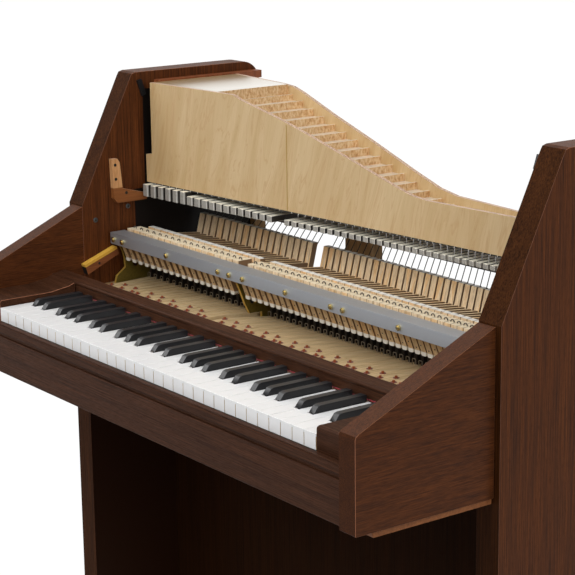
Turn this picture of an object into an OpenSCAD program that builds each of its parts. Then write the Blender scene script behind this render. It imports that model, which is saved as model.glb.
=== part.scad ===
// A small keyboard celesta with its lid, upper front panel and key cover taken off: 56 keys from C to G,
// hammers that strike tuned metal bars from below, and a tuned plywood resonator box above the bars.
// Lengths are in millimetres. Heights named "over floor" start at the floor; every other height is counted
// from the tops of the white keys, and every depth from their front ends, towards the back.

/* [Case] */
// Thickness of a side panel
panel_t = 40; // [30:1:44]
// Height of the side panels over floor
case_h = 1044; // [1040:1:1100]
// Height of the white key tops over floor
key_top_h = 725; // [700:1:740]
// Depth of the side panels' upright front edge
panel_front = 187; // [180:1:200]
// Depth of the side panels' back edge
panel_back = 528; // [524:1:540]
// Height where a side panel's front edge starts to slant back
slant_z = 120; // [119:1:150]
// Depth where the slanted edge reaches the top
slant_top_y = 283; // [275:1:300]
// Radius of the side panels' back top corner
panel_corner_r = 32; // [10:1:40]
// Width of the posts of the back frame
post_w = 64; // [40:1:80]
// Height of the case over the tops of those posts
post_drop = 119; // [100:1:130]
// Depth of the posts of the back frame
post_t = 22; // [18:1:24]
// Depth of the knee panel's front face
knee_y = 345; // [330:1:352]
// Thickness of the knee panel
knee_t = 12; // [8:0.5:16]
// Thickness of the bottom board
bottom_t = 20; // [16:1:26]
// Clear height under the bottom board
bottom_gap = 60; // [50:1:90]

/* [Cheeks and key bed] */
// Width of the block beside the keys, from the end key's place to the side panel
block_w = 71.25; // [70:0.25:90]
// Thickness of a cheek beside the keys
cheek_t = 30; // [22:1:30]
// Overhang of the cheeks in front of the keys
cheek_over = 22; // [18:1:30]
// Height of a cheek's top at its front end
cheek_front_z = 27; // [22:1:40]
// Height of a cheek's top at the side panel
cheek_back_z = 118.5; // [100:0.5:118.5]
// Depth of the cheeks and the front board below the key tops
bed_drop = 92.5; // [88:0.5:110]
// Thickness of the key bed
bed_t = 32; // [24:1:34]
// Thickness of the board under the key bed
under_t = 8; // [6:0.5:12]
// Setback of the under board's front edge from the key fronts
under_setback = 4; // [2:1:20]
// Thickness of the front board and the key slip
slip_t = 10; // [7:0.5:12]
// Gap between the key slip and the key fronts
slip_gap = 4; // [3:0.5:8]
// Height of the front board's top edge
board_top_z = -37; // [-45:1:-35]
// Height of the key slip's top edge
slip_top_z = -18; // [-22:1:-16]
// Height of the groove under the key slip
slip_groove_h = 6; // [3:0.5:9]
// Depth of the groove under the key slip
slip_groove_d = 3; // [1:0.5:5]
// Height of a key block's front part
block_z = 10.5; // [4:0.5:14]
// Height of a key block where it meets the rail
block_back_z = 19; // [16:0.5:22]
// Thickness of the rail that the key cover lies against
cover_rail_t = 25; // [18:1:28]
// Height of that rail's lower edge
cover_rail_z0 = 2; // [1.5:0.25:4]
// Height of that rail's top
cover_rail_z1 = 24; // [22:0.5:30]
// Thickness of the red felt under the rail
rail_felt_t = 1.4; // [0.6:0.1:1.4]

/* [Keys] */
// Spacing of the white keys
white_pitch = 23.5; // [23.2:0.05:23.8]
// Gap between neighbouring keys
key_gap = 0.8; // [0.6:0.05:1.2]
// Depth of a white key's wide front part
white_head = 43; // [40:0.5:43]
// Length of the visible part of the keys
key_show = 128; // [126:0.5:129]
// Height of a white key's front
white_h = 20; // [17:0.5:21]
// Length of a whole key
key_len = 345; // [330:1:360]
// Depth of a black key's front end
black_front = 45; // [45:0.5:50]
// Depth of a black key's back end
black_back = 126; // [118:0.5:127]
// Width of a black key
black_w = 10.2; // [9:0.1:10.6]
// Height of a black key over the white ones
black_h = 9; // [8:0.25:11]
// Slope length at a black key's front
black_nose = 9; // [3:0.5:10]
// Extra room beside a black key
black_room = 1; // [0.8:0.1:1.4]
// Width of a key's wooden tail
tail_w = 12.6; // [9:0.1:12.8]
// Length of the straight back end of a key's tail
tail_straight = 53; // [45:0.5:60]
// Gap between neighbouring tails where they are closest
tail_gap = 0.9; // [0.7:0.05:1.4]
// Drop of the tail's top below the white key tops
tail_drop = 6.5; // [5:0.25:8]
// Thickness of a key's tail
tail_h = 17.5; // [15:0.5:20]
// Depth of the white keys' balance pins
white_pin_y = 219; // [215:0.5:222]
// Depth of the black keys' balance pins
black_pin_y = 234.5; // [231:0.5:238]
// Diameter of a balance pin
pin_d = 3.6; // [3:0.1:3.6]
// Diameter of the bushed hole around a balance pin
pin_hole_d = 6.4; // [6:0.1:7]
// Height of the balance pins over the tails
pin_over = 3; // [1:0.5:5]
// Width of the pad block on a key's tail
capstan_w = 6; // [4:0.5:8]
// Height of the capstan pad on a key's tail
capstan_h = 29; // [24:0.5:29]

/* [Notes] */
// Notes in the first section, left of the middle bracket
first_notes = 18; // [18:1:18]
// Place of the first note, from the left end of the keys
note_x0 = -50; // [-50:0.5:-46]
// Spacing of the notes at the left end
note_pitch0 = 18.6; // [18.2:0.1:18.8]
// Place of the first note right of the middle bracket
note_x1 = 278; // [276:0.5:280]
// Spacing of the notes just right of the middle bracket
note_pitch1 = 15.25; // [15:0.05:15.3]
// Thickness of an action bracket
bracket_t = 5; // [3:0.5:6]

/* [Action] */
// Height of the action rail
rail_h = 18; // [14:0.5:18]
// Depth of the action rail's front face
rail_y = 231; // [229:0.5:233]
// Width of the action rail's top
rail_w = 26; // [22:0.5:27]
// Wall of the action rail
rail_wall = 3; // [1.5:0.25:3.5]
// Height of the action rail's top
rail_top_z = 73.5; // [73:0.25:76]
// Diameter of the heads of the rail screws
screw_d = 8; // [5:0.5:10]
// Width of a lever's slat
slat_w = 10; // [8:0.25:10.5]
// Thickness of a lever's slat
slat_t = 6; // [4:0.25:7]
// Height of the white felt ends of the levers
lever_foot_z = 27; // [26:0.25:29]
// Width of a hammer's butt
hammer_w = 9; // [7:0.25:9.5]
// Share of the notes' spacing that a hammer's head fills
head_share = 0.76; // [0.5:0.01:0.78]
// Thickness of a hammer's head
hammer_t = 9; // [6:0.25:9]
// Height of a resting hammer's tip
hammer_tip_z = 84; // [80:0.5:85]
// Length of a hammer from its pin to its tip
hammer_reach = 114; // [112:0.5:115]
// Height of the hammers' pins
hammer_pin_z = 60; // [59:0.25:61]
// Depth of the hammers' pins
hammer_pin_y = 290; // [289:0.5:291]
// Gap between neighbouring flanges
flange_gap = 1; // [0.6:0.1:2]
// Height of a flange over the beam
flange_h = 14.5; // [12:0.5:15]
// Outer width of a flange's spring loop
loop_d = 7.6; // [5:0.2:8]
// Thickness of that spring's wire
loop_wire = 1.1; // [0.8:0.1:1.6]
// Height of a hammer's butt block over the pin
butt_h = 14; // [8:0.5:15]
// Gap between neighbouring butt blocks
butt_gap = 1.2; // [0.8:0.1:2]
// Diameter of a hammer's pin
centre_pin_d = 1.6; // [1.2:0.1:2]
// Diameter of a damper's wire
damper_wire_d = 1.3; // [1:0.1:1.8]
// Distance of the dampers' axle behind the keys
damper_axle_gap = 8; // [7:0.5:11]
// Height of the dampers' axle
damper_axle_z = 12; // [11:0.5:14]
// Diameter of the dampers' axle
damper_axle_d = 4; // [3:0.25:5]

/* [Bars and resonator] */
// Height of the tuned bars' undersides
bar_z = 125; // [124.5:0.25:126]
// Depth of the bars' middle line
bar_mid_y = 386; // [385:0.5:387]
// Length of the longest bar
bar_len0 = 194; // [186:1:196]
// Width of the thick bass bars
bass_bar_w = 11.5; // [10:0.25:14]
// Gap between the other bars
bar_gap = 3.6; // [2.6:0.1:4]
// Thickness of the thick bass bars
bar_t0 = 19; // [14:0.5:19]
// Diameter of the pins between the bars
bar_pin_d = 1.5; // [1:0.1:2]
// Width of a rail that carries the bars
bar_rail_w = 5; // [4:0.5:6]
// Height of a rail that carries the bars
bar_rail_h = 4.5; // [3.5:0.5:7]
// Thickness of the resonator's plywood
ply_t = 6; // [4:0.25:8]
// Height of the resonator's lower edge
reso_z0 = 146; // [146:0.5:150]
// Height of the resonator's top at the bass end
reso_z1 = 304; // [290:1:308]
// Height of the resonator's top at the treble end
reso_z2 = 200; // [190:1:210]
// Depth of the resonator's front at the bass end
reso_front_y = 301; // [299:0.5:302]
// Depth of the resonator's back at the bass end
reso_back_y = 471; // [469:0.5:473]
// Width of a resonator chamber
chamber_w = 29.7; // [26:0.1:36]

/* [Hidden] */
$fn = 48;

key_count = 56;
// First and last key of the octave whose keys move one by one
mid_first = 24;
mid_last = 35;
white_of = [0, 0, 1, 1, 2, 3, 3, 4, 4, 5, 5, 6];
black_of = [false, true, false, true, false, false, true, false, true, false, true, false];
// Middle of each black key within its octave, in white key widths
black_at = [0, 0.9, 0, 2.1, 0, 0, 3.855, 0, 5, 0, 6.145, 0];
octave_w = 7 * white_pitch;
keys_w = 33 * white_pitch;
// The case is centred on the keys
x_mid = keys_w / 2;
in_l = -block_w;
in_r = keys_w + block_w;
out_l = in_l - panel_t;
out_r = in_r + panel_t;
floor_z = -key_top_h;
top_z = case_h - key_top_h;
bed_top = -bed_drop + bed_t;
damper_axle_y = key_len + damper_axle_gap;
tail_top = -tail_drop;
tail_bot = tail_top - tail_h;
slip_y0 = -slip_gap - slip_t;
bracket_x = [-62, 260, 797];
eps = 0.01;

function is_black(i) = black_of[i % 12];
function white_x(i) = (7 * floor(i / 12) + white_of[i % 12]) * white_pitch;
function black_x(i) = floor(i / 12) * octave_w + black_at[i % 12] * white_pitch;
// Where the note's lever, hammer, bar and damper stand
function note_x(i) = i < first_notes ? note_x0 + note_pitch0 * i - 0.0907 * i * i :
    note_x1 + note_pitch1 * (i - first_notes) - 0.0453 * pow(i - first_notes, 2);
function note_pitch(i) = i < first_notes ? note_pitch0 - 0.1814 * i :
    note_pitch1 - 0.0906 * (i - first_notes);
// Where the key's tail passes its balance pin
function pin_x(i) = i < first_notes ? 216.6 - 15.35 * (first_notes - 1 - i) :
    (i + 0.5) * octave_w / 12 - 7 * max(0, 1 - (i - first_notes) / 6);
// Sides of a white key beside its black neighbours
function neck_l(i) = (i > 0 && is_black(i - 1)) ? black_x(i - 1) + black_w / 2 + black_room :
    white_x(i) + key_gap / 2;
function neck_r(i) = (i < key_count - 1 && is_black(i + 1)) ? black_x(i + 1) - black_w / 2 - black_room :
    white_x(i) + white_pitch - key_gap / 2;
function neck_x(i) = is_black(i) ? black_x(i) : (neck_l(i) + neck_r(i)) / 2;
// Front end and length of a note's bar
function bar_front(x) = x < 410 ? bar_mid_y - bar_len0 / 2 + 0.1076 * (x + 53) :
    bar_mid_y - bar_len0 / 2 + 0.1076 * 463 + 0.072 * (x - 410);
// Each damper's wire passes left of its note's hammer, halfway to the next one
function damper_x(i) = note_x(i) - note_pitch(i == first_notes ? i : max(i - 1, 0)) / 2;
function bar_thick(i) = i < 6 ? bar_t0 :
    (i < first_notes ? 13.5 - 0.36 * (i - 6) : 8 - 0.04 * (i - first_notes));
// Distance of the bars' still points from their middle line
function still_at(x) = 0.276 * 2 * (bar_mid_y - bar_front(x));

module placed() {
    translate([-x_mid, -(panel_back - cheek_over) / 2, key_top_h]) children();
}

// A plate whose outline is drawn in depth and height, from x0 to x1
module plate(x0, x1, pts) {
    translate([x0, 0, 0]) rotate([90, 0, 90]) linear_extrude(x1 - x0) polygon(pts);
}

module box(x0, x1, y0, y1, z0, z1) {
    translate([x0, y0, z0]) cube([x1 - x0, y1 - y0, z1 - z0]);
}

// ---- case ----

module side_panel_shape(x0) {
    arc = [for (a = [0 : 10 : 90]) [panel_back - panel_corner_r + panel_corner_r * sin(90 - a) ,
        top_z - panel_corner_r + panel_corner_r * cos(90 - a)]];
    plate(x0, x0 + panel_t, concat(
        [[panel_back, floor_z]], arc,
        [[slant_top_y + 8, top_z], [slant_top_y + 1.5, top_z - 2], [slant_top_y - 2, top_z - 8],
        [panel_front, slant_z], [panel_front, floor_z]]));
}

module side_panel_left() {
    color([0.34, 0.2, 0.15]) placed() side_panel_shape(out_l);
}

module side_panel_right() {
    color([0.34, 0.2, 0.15]) placed() side_panel_shape(in_r);
}

module cheek_shape(x0) {
    r = 5;
    plate(x0, x0 + cheek_t, [
        [panel_front, -bed_drop], [panel_front, cheek_back_z], [-cheek_over + r, cheek_front_z + r * 0.2],
        [-cheek_over + r * 0.3, cheek_front_z - r * 0.3], [-cheek_over, cheek_front_z - r],
        [-cheek_over, -bed_drop]]);
}

module cheek_left() {
    color([0.32, 0.19, 0.14]) placed() cheek_shape(in_l - cheek_t);
}

module cheek_right() {
    color([0.32, 0.19, 0.14]) placed() cheek_shape(in_r);
}

module front_board() {
    color([0.3, 0.17, 0.12]) placed() box(in_l, in_r, slip_y0, -slip_gap, -bed_drop, board_top_z);
}

module key_slip() {
    color([0.3, 0.17, 0.12]) placed() plate(in_l, in_r, [
        [-slip_gap, board_top_z], [-slip_gap, slip_top_z], [slip_y0 + 1.5, slip_top_z],
        [slip_y0, slip_top_z - 1.5], [slip_y0, board_top_z + slip_groove_h],
        [slip_y0 + slip_groove_d, board_top_z + slip_groove_h], [slip_y0 + slip_groove_d, board_top_z]]);
}

module key_bed() {
    color([0.62, 0.5, 0.36]) placed() difference() {
        box(in_l, in_r, -slip_gap, rod_y + 60, -bed_drop, bed_top);
        translate([rod_x, rod_y, -bed_drop - 1]) cylinder(d = rod_hole_d, h = bed_t + 2);
    }
}

module under_board() {
    color([0.45, 0.3, 0.2]) placed() union() {
        plate(in_l - cheek_t + 4, in_r + cheek_t - 4, [
            [under_setback, -bed_drop], [under_setback + 3, -bed_drop - under_t],
            [panel_front, -bed_drop - under_t], [panel_front, -bed_drop]]);
        box(in_l, in_r, panel_front - eps, knee_y, -bed_drop - under_t, -bed_drop);
    }
}

module key_block(x0, x1) {
    plate(x0, x1, [
        [0, bed_top], [0, block_z - 4], [1.2, block_z - 1.2], [4, block_z],
        [88, block_z], [103, block_z + 0.3 * (block_back_z - block_z)],
        [119, block_z + 0.56 * (block_back_z - block_z)], [key_show, block_back_z],
        [key_show, bed_top]]);
}

module key_blocks() {
    color([0.3, 0.17, 0.12]) placed() {
        key_block(in_l, -key_gap);
        key_block(keys_w + key_gap, in_r);
    }
}

module cover_rail() {
    y0 = key_show;
    y1 = key_show + cover_rail_t;
    color([0.28, 0.16, 0.12]) placed() plate(in_l, in_r, [
        [y0 + 2, cover_rail_z0], [y0 + 2, cover_rail_z0 + 13], [y0, cover_rail_z0 + 15],
        [y0, cover_rail_z0 + 17.5], [y0 + 2, cover_rail_z0 + 19.5], [y0 + 6, cover_rail_z0 + 19],
        [y1 - 2, cover_rail_z1], [y1, cover_rail_z1 - 2], [y1, cover_rail_z0]]);
}

module rail_felt() {
    color([0.75, 0.08, 0.12]) placed()
        box(0, keys_w, key_show + 2, key_show + cover_rail_t - 3, cover_rail_z0 - rail_felt_t, cover_rail_z0);
}

module knee_panel() {
    color([0.22, 0.13, 0.1]) placed()
        box(in_l, in_r, knee_y, knee_y + knee_t, floor_z + bottom_gap + bottom_t, -bed_drop);
}

module bottom_board() {
    z0 = floor_z + bottom_gap;
    color([0.26, 0.16, 0.12]) placed() difference() {
        box(in_l, in_r, knee_y - 40, panel_back - post_t, z0, z0 + bottom_t);
        translate([rod_x, rod_y, z0 - 1]) cylinder(d = rod_hole_d, h = bottom_t + 2);
    }
}

module back_frame() {
    y0 = panel_back - post_t;
    post_top = top_z - post_drop;
    edge_w = 12;
    color([0.6, 0.47, 0.33]) placed() union() {
        box(in_l, in_l + edge_w, y0, panel_back, floor_z, post_top);
        box(184, 184 + post_w, y0, panel_back, floor_z, post_top);
        box(in_r - edge_w, in_r, y0, panel_back, floor_z, post_top);
        box(in_l, in_r, y0, panel_back, 76, 118);
        box(in_l, in_r, y0, panel_back, floor_z, floor_z + 120);
    }
}

// ---- key frame and keys ----

front_rail_top = -white_h - 14;
balance_top = tail_bot - 2;
back_rail_y = key_len - 34;

module key_frame() {
    color([0.72, 0.6, 0.43]) placed() union() {
        box(0, keys_w, 8, 74, bed_top, front_rail_top);
        box(-52, keys_w + 22, white_pin_y - 16, black_pin_y + 16, bed_top, balance_top);
        box(-52, keys_w + 22, back_rail_y, back_rail_y + 34, bed_top, tail_bot - 4);
        // end pieces that carry the outer action brackets
        box(in_l, -57, 170, back_rail_y + 34, bed_top, tail_top - 2.5);
        box(791, in_r, 170, back_rail_y + 34, bed_top, tail_top - 2.5);
        // sleepers that tie the rails together
        for (x = [227, 520]) box(x, x + 14, 20, back_rail_y + 20, bed_top, bed_top + 12);
        for (x = [-50, keys_w + 2])
            box(x, x + 14, key_show + 2, back_rail_y + 20, bed_top, bed_top + 12);
    }
}

module balance_pins() {
    color([0.75, 0.75, 0.78]) placed()
        for (i = [0 : key_count - 1])
            translate([pin_x(i), is_black(i) ? black_pin_y : white_pin_y, balance_top])
                cylinder(d = pin_d, h = tail_top + pin_over - balance_top);
}

module key_cloths() {
    color([0.2, 0.42, 0.3]) placed() {
        for (i = [0 : key_count - 1])
            translate([pin_x(i), is_black(i) ? black_pin_y : white_pin_y, balance_top])
                difference() {
                    cylinder(d = 9, h = 1.65);
                    translate([0, 0, -1]) cylinder(d = pin_d + 0.2, h = 4);
                }
        box(-52, keys_w + 15, back_rail_y + 4, back_rail_y + 30, tail_bot - 4, tail_bot - 0.35);
        box(0, keys_w, 14, 40, front_rail_top, -white_h - 10.2);
    }
}

// A key's wooden tail seen from above: one width to past the pin, then as wide as its note allows
module tail_plan(i) {
    y = [key_show + 8, 205, 242, key_len - tail_straight, key_len];
    x = [neck_x(i), pin_x(i), pin_x(i) + (note_x(i) - pin_x(i)) * 0.06, note_x(i), note_x(i)];
    half = tail_w / 2;
    half_end = min(tail_w, note_pitch(i) - tail_gap) / 2;
    w = [half, half, half, half_end, half_end];
    lo = max(neck_l(i), neck_x(i) - half);
    hi = min(neck_r(i), neck_x(i) + half);
    polygon(concat(
        [for (k = [1 : 4]) [x[k] - w[k], y[k]]],
        [for (k = [4 : -1 : 1]) [x[k] + w[k], y[k]]],
        is_black(i) ? [[x[0] + 4.3, y[0]], [x[0] + 4.3, black_back - 4], [x[0] - 4.3, black_back - 4],
            [x[0] - 4.3, y[0]]] :
        [[hi, y[0]], [hi, key_show - 4], [lo, key_show - 4], [lo, y[0]]]));
}

module key(i) {
    w = is_black(i) ? black_w : 0;
    difference() {
        union() {
            translate([0, 0, tail_bot]) linear_extrude(tail_h) tail_plan(i);
            // block with a felt pad that lifts the lever
            box(note_x(i) - capstan_w / 2, note_x(i) + capstan_w / 2, 295, 305, tail_top - 1,
                tail_top + capstan_h);
            if (is_black(i)) {
                box(black_x(i) - 4.3, black_x(i) + 4.3, black_front + 3, black_back - 2, tail_bot + 4, 0.5);
                plate(black_x(i) - w / 2, black_x(i) + w / 2, [
                    [black_front, 0], [black_front + black_nose * 0.7, black_h - 1.2],
                    [black_front + black_nose + 2, black_h], [black_back - 1, black_h],
                    [black_back, black_h - 1], [black_back, 0]]);
            } else {
                box(white_x(i) + key_gap / 2, white_x(i) + white_pitch - key_gap / 2, 0, white_head,
                    -white_h, 0);
                box(neck_l(i), neck_r(i), white_head - 1, key_show, -white_h, 0);
            }
        }
        translate([pin_x(i), is_black(i) ? black_pin_y : white_pin_y, tail_bot - 1])
            cylinder(d = pin_hole_d, h = tail_h + 2);
    }
}

ivory = [0.95, 0.95, 0.92];
ebony = [0.1, 0.1, 0.11];

module single_key(i) {
    color(is_black(i) ? ebony : ivory) placed() key(i);
}

module key_row(first, last, black) {
    color(black ? ebony : ivory) placed()
        for (i = [first : last]) if (is_black(i) == black) key(i);
}

module key_c() single_key(mid_first);
module key_c_sharp() single_key(mid_first + 1);
module key_d() single_key(mid_first + 2);
module key_d_sharp() single_key(mid_first + 3);
module key_e() single_key(mid_first + 4);
module key_f() single_key(mid_first + 5);
module key_f_sharp() single_key(mid_first + 6);
module key_g() single_key(mid_first + 7);
module key_g_sharp() single_key(mid_first + 8);
module key_a() single_key(mid_first + 9);
module key_a_sharp() single_key(mid_first + 10);
module key_b() single_key(mid_first + 11);
module bass_white_keys() key_row(0, mid_first - 1, false);
module bass_black_keys() key_row(0, mid_first - 1, true);
module treble_white_keys() key_row(mid_last + 1, key_count - 1, false);
module treble_black_keys() key_row(mid_last + 1, key_count - 1, true);

// ---- action ----

rail_bot_z = rail_top_z - rail_h;
// How far the action brackets stop short of the keys' back ends
bracket_back = 13;
beam_y0 = 264;
beam_y1 = 284;
beam_z0 = 44;
beam_z1 = hammer_pin_z + 2;
flange_top = beam_z1 + flange_h;

module action_bracket(x, foot_z, toe_y) {
    y0 = rail_y + rail_wall + 0.2;
    top = rail_top_z - rail_wall;
    back = key_len - bracket_back;
    difference() {
        plate(x - bracket_t / 2, x + bracket_t / 2, [
            [y0, top], [y0, rail_bot_z], [246, 50], [251, 40], [254, 28], [255, 14], [toe_y + 3, 2],
            [toe_y, foot_z], [toe_y + 26, foot_z], [toe_y + 34, foot_z],
            [toe_y + 40, foot_z], [back, foot_z], [back + 2, 8], [326, 26], [312, 40], [300, 48],
            [beam_y1 + 6, beam_z0], [beam_y0 - 2, beam_z0 - 1], [beam_y0 - 2, top]]);
        translate([x, 275, 20]) rotate([0, 90, 0]) cylinder(d = 14, h = bracket_t + 2, center = true);
    }
}

module action_brackets() {
    foot_y = back_rail_y - 21;
    color([0.42, 0.34, 0.12]) placed() {
        action_bracket(bracket_x[0], tail_top - 2.5, 236);
        action_bracket(bracket_x[2], tail_top - 2.5, 236);
        // the middle one clears the keys in front and stands between two tails
        difference() {
            plate(bracket_x[1] - bracket_t / 2, bracket_x[1] + bracket_t / 2, [
                [rail_y + rail_wall + 0.2, rail_top_z - rail_wall], [rail_y + rail_wall + 0.2, rail_bot_z],
                [247, 48], [253, 34], [260, 16], [268, 0], [foot_y, 0], [foot_y, bed_top],
                [back_rail_y - 1, bed_top], [back_rail_y - 1, 0],
                [key_len - bracket_back + 2, 8], [326, 26], [312, 40],
                [300, 48], [beam_y1 + 6, beam_z0], [beam_y0 - 2, beam_z0 - 1],
                [beam_y0 - 2, rail_top_z - rail_wall]]);
            translate([bracket_x[1], 275, 20]) rotate([0, 90, 0])
                cylinder(d = 14, h = bracket_t + 2, center = true);
        }
    }
}

module action_rail() {
    x0 = bracket_x[0] - 1;
    x1 = bracket_x[2] + 8;
    color([0.62, 0.64, 0.67]) placed() {
        plate(x0, x1, [
            [rail_y, rail_bot_z], [rail_y, rail_top_z], [rail_y + rail_w, rail_top_z],
            [rail_y + rail_w, rail_top_z - rail_wall], [rail_y + rail_wall, rail_top_z - rail_wall],
            [rail_y + rail_wall, rail_bot_z]]);
        // rods that carry the levers, from bracket to bracket
        for (k = [0, 1])
            translate([bracket_x[k] + bracket_t / 2, 244, 64]) rotate([0, 90, 0])
                cylinder(d = 1.8, h = bracket_x[k + 1] - bracket_x[k] - bracket_t, $fn = 24);
    }
}

// Screws through the rail's face: a pair at each bracket, the rest at the beams
module rail_screws() {
    z = rail_bot_z + rail_h * 0.42;
    color([0.72, 0.55, 0.25]) placed()
        for (x = [-53, -27, 99, 237, 265, 299, 402, 505, 531, 647, 763, 788])
            translate([x, rail_y, z]) rotate([90, 0, 0]) union() {
                cylinder(d = screw_d, h = 2.4);
                translate([0, 0, 2.4 - eps]) cylinder(d = screw_d * 0.62, h = 1.2);
            }
}

module beam_parts(y0, y1, z0, z1) {
    for (k = [0, 1])
        box(bracket_x[k] + bracket_t / 2, bracket_x[k + 1] - bracket_t / 2, y0, y1, z0, z1);
}

module flange_beams() {
    color([0.7, 0.56, 0.38]) placed() beam_parts(beam_y0, beam_y1 - 0.02, beam_z0, beam_z1);
}

// A forked block that holds one hammer's pin
module hammer_flange(i) {
    cheek_in = hammer_w / 2 - 1.3;
    cheek_out = hammer_w / 2 + 0.6;
    half = (note_pitch(i) - flange_gap) / 2;
    translate([note_x(i), 0, 0]) union() {
        box(-half, half, beam_y0 - 4, beam_y1, beam_z1, flange_top);
        for (s = [-1, 1]) {
            translate([s * (cheek_in + cheek_out) / 2 - (cheek_out - cheek_in) / 2, beam_y1 - eps,
                hammer_pin_z - 5]) cube([cheek_out - cheek_in, hammer_pin_y - beam_y1 + 4, 13]);
        }
        translate([-cheek_out, hammer_pin_y, hammer_pin_z]) rotate([0, 90, 0])
            cylinder(d = centre_pin_d, h = 2 * cheek_out, $fn = 24);
    }
}

module hammer_flanges() {
    color([0.78, 0.64, 0.44]) placed()
        for (i = [0 : key_count - 1]) hammer_flange(i);
}

module flange_springs() {
    color([0.85, 0.8, 0.7]) placed()
        for (i = [0 : key_count - 1])
            translate([note_x(i), beam_y0 + 5, flange_top + 0.05])
                rotate([90, 0, 0]) difference() {
                    cylinder(d = loop_d, h = loop_wire, center = true, $fn = 32);
                    cylinder(d = loop_d - 2 * loop_wire, h = 8, center = true, $fn = 32);
                    translate([-loop_d, -2 * loop_d, -4]) cube([2 * loop_d, 2 * loop_d, 8]);
                }
}

// The lever hangs from its pin behind the rail; its white felt end shows below the rail
lever_pin_y = 244;
lever_pin_z = 64;
lever_arm_z = tail_top + capstan_h + 4;

module lever(x) {
    w = slat_w / 2;
    translate([x, 0, 0]) difference() {
        union() {
            plate(-w, w, [
                [lever_pin_y - slat_t / 2, lever_pin_z], [lever_pin_y - slat_t / 2 + 1, lever_pin_z + 3],
                [lever_pin_y + slat_t / 2 - 1, lever_pin_z + 3], [lever_pin_y + slat_t / 2, lever_pin_z],
                [258 + slat_t / 2, lever_foot_z + 1], [258 + slat_t / 2 - 1, lever_foot_z],
                [258 - slat_t / 2 + 1, lever_foot_z], [258 - slat_t / 2, lever_foot_z + 1]]);
            // arm over the key's pad, and the jack under the hammer's butt
            box(-3, 3, 256, 306, max(lever_arm_z, lever_foot_z), lever_foot_z + 9);
            box(-2.5, 2.5, 299, 305, lever_foot_z + 8, 50);
        }
        translate([-w - 1, lever_pin_y, lever_pin_z]) rotate([0, 90, 0]) cylinder(d = 2.4, h = slat_w + 2);
    }
}

// A hammer: butt on its pin, shank to the back, and a leaning head with a soft tip
tip_a = asin((hammer_tip_z - hammer_pin_z) / hammer_reach);
tip_y = hammer_pin_y + hammer_reach * cos(tip_a);
head_lean = 14;

module hammer(i) {
    x = note_x(i);
    w = hammer_w / 2;
    butt_w = (note_pitch(i) - butt_gap) / 2;
    head_w = note_pitch(i) * head_share / 2;
    head_foot_z = 45;
    dy = (hammer_tip_z - head_foot_z) * tan(head_lean);
    translate([x, 0, 0]) difference() {
        union() {
            plate(-2.6, 2.6, [[hammer_pin_y - 3, hammer_pin_z - 3], [hammer_pin_y - 3, hammer_pin_z + 3],
                [hammer_pin_y + 3, hammer_pin_z + 4], [hammer_pin_y + 8, hammer_pin_z + 4],
                [tip_y - dy, head_foot_z + 9], [tip_y - dy, head_foot_z],
                [hammer_pin_y + 20, hammer_pin_z - 8], [hammer_pin_y + 6, hammer_pin_z - 8]]);
            box(-w, w, 299, 312, hammer_pin_z - 8, hammer_pin_z + 2);
            box(-butt_w, butt_w, 299, 308, hammer_pin_z + 2 - eps, hammer_pin_z + butt_h);
            plate(-head_w, head_w, [
                [tip_y - dy - hammer_t / 2, head_foot_z], [tip_y - hammer_t / 2, hammer_tip_z],
                [tip_y + hammer_t / 2, hammer_tip_z], [tip_y - dy + hammer_t / 2, head_foot_z]]);
        }
        translate([-5, hammer_pin_y, hammer_pin_z]) rotate([0, 90, 0])
            cylinder(d = centre_pin_d + 0.8, h = 10, $fn = 24);
    }
}

// A damper: lever on the axle, wire between two hammers, and a felt pad under its bar
damper_foot_y = damper_axle_y + 33;
damper_foot_z = 40;

module damper(i) {
    x = damper_x(i);
    rear = 2 * bar_mid_y - bar_front(note_x(i)) - 4;
    pad_z = bar_z - 3.4;
    wy = rear - damper_foot_y;
    wz = pad_z - damper_foot_z;
    difference() {
        union() {
            box(x - 2, x + 2, damper_axle_y - 18, damper_foot_y + 4, damper_axle_z - 4, damper_axle_z + 4);
            box(x - 1.6, x + 1.6, damper_foot_y - 3, damper_foot_y + 3, damper_axle_z, damper_foot_z);
            translate([x, damper_foot_y, damper_foot_z - 1]) rotate([-atan(wy / wz), 0, 0])
                cylinder(d = damper_wire_d, h = norm([wy, wz]) + 1.5, $fn = 16);
            box(x - 1.5, note_x(i) + 3, rear - 0.9, rear + 3.5, pad_z, bar_z - 0.35);
        }
        translate([x - 5, damper_axle_y, damper_axle_z]) rotate([0, 90, 0])
            cylinder(d = damper_axle_d + 0.8, h = 10);
    }
}

// Rail behind the keys with the dampers' axle in its blocks
module damper_rail() {
    block_x = [in_l, bracket_x[1] - 10, bracket_x[2] + 6];
    color([0.66, 0.52, 0.36]) placed() union() {
        box(in_l, in_r, key_len + 3, damper_axle_y + 6, bed_top, damper_axle_z - 8);
        for (x = block_x)
            box(x, x + 8, key_len + 3, damper_axle_y + 6, damper_axle_z - 8 - eps, damper_axle_z + 5);
        translate([in_l, damper_axle_y, damper_axle_z]) rotate([0, 90, 0])
            cylinder(d = damper_axle_d, h = block_x[2] + 8 - in_l);
    }
}

maple = [0.8, 0.67, 0.5];

module middle_c_lever() {
    color(maple) placed() lever(note_x(mid_first));
}

module levers() {
    color(maple) placed() for (i = [0 : key_count - 1]) if (i != mid_first) lever(note_x(i));
}

module middle_c_hammer() {
    color(maple) placed() hammer(mid_first);
}

module hammers() {
    color(maple) placed() for (i = [0 : key_count - 1]) if (i != mid_first) hammer(i);
}

module middle_c_damper() {
    color([0.35, 0.35, 0.36]) placed() damper(mid_first);
}

module dampers() {
    color([0.35, 0.35, 0.36]) placed() for (i = [0 : key_count - 1]) if (i != mid_first) damper(i);
}

// ---- bars and resonator ----

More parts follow.
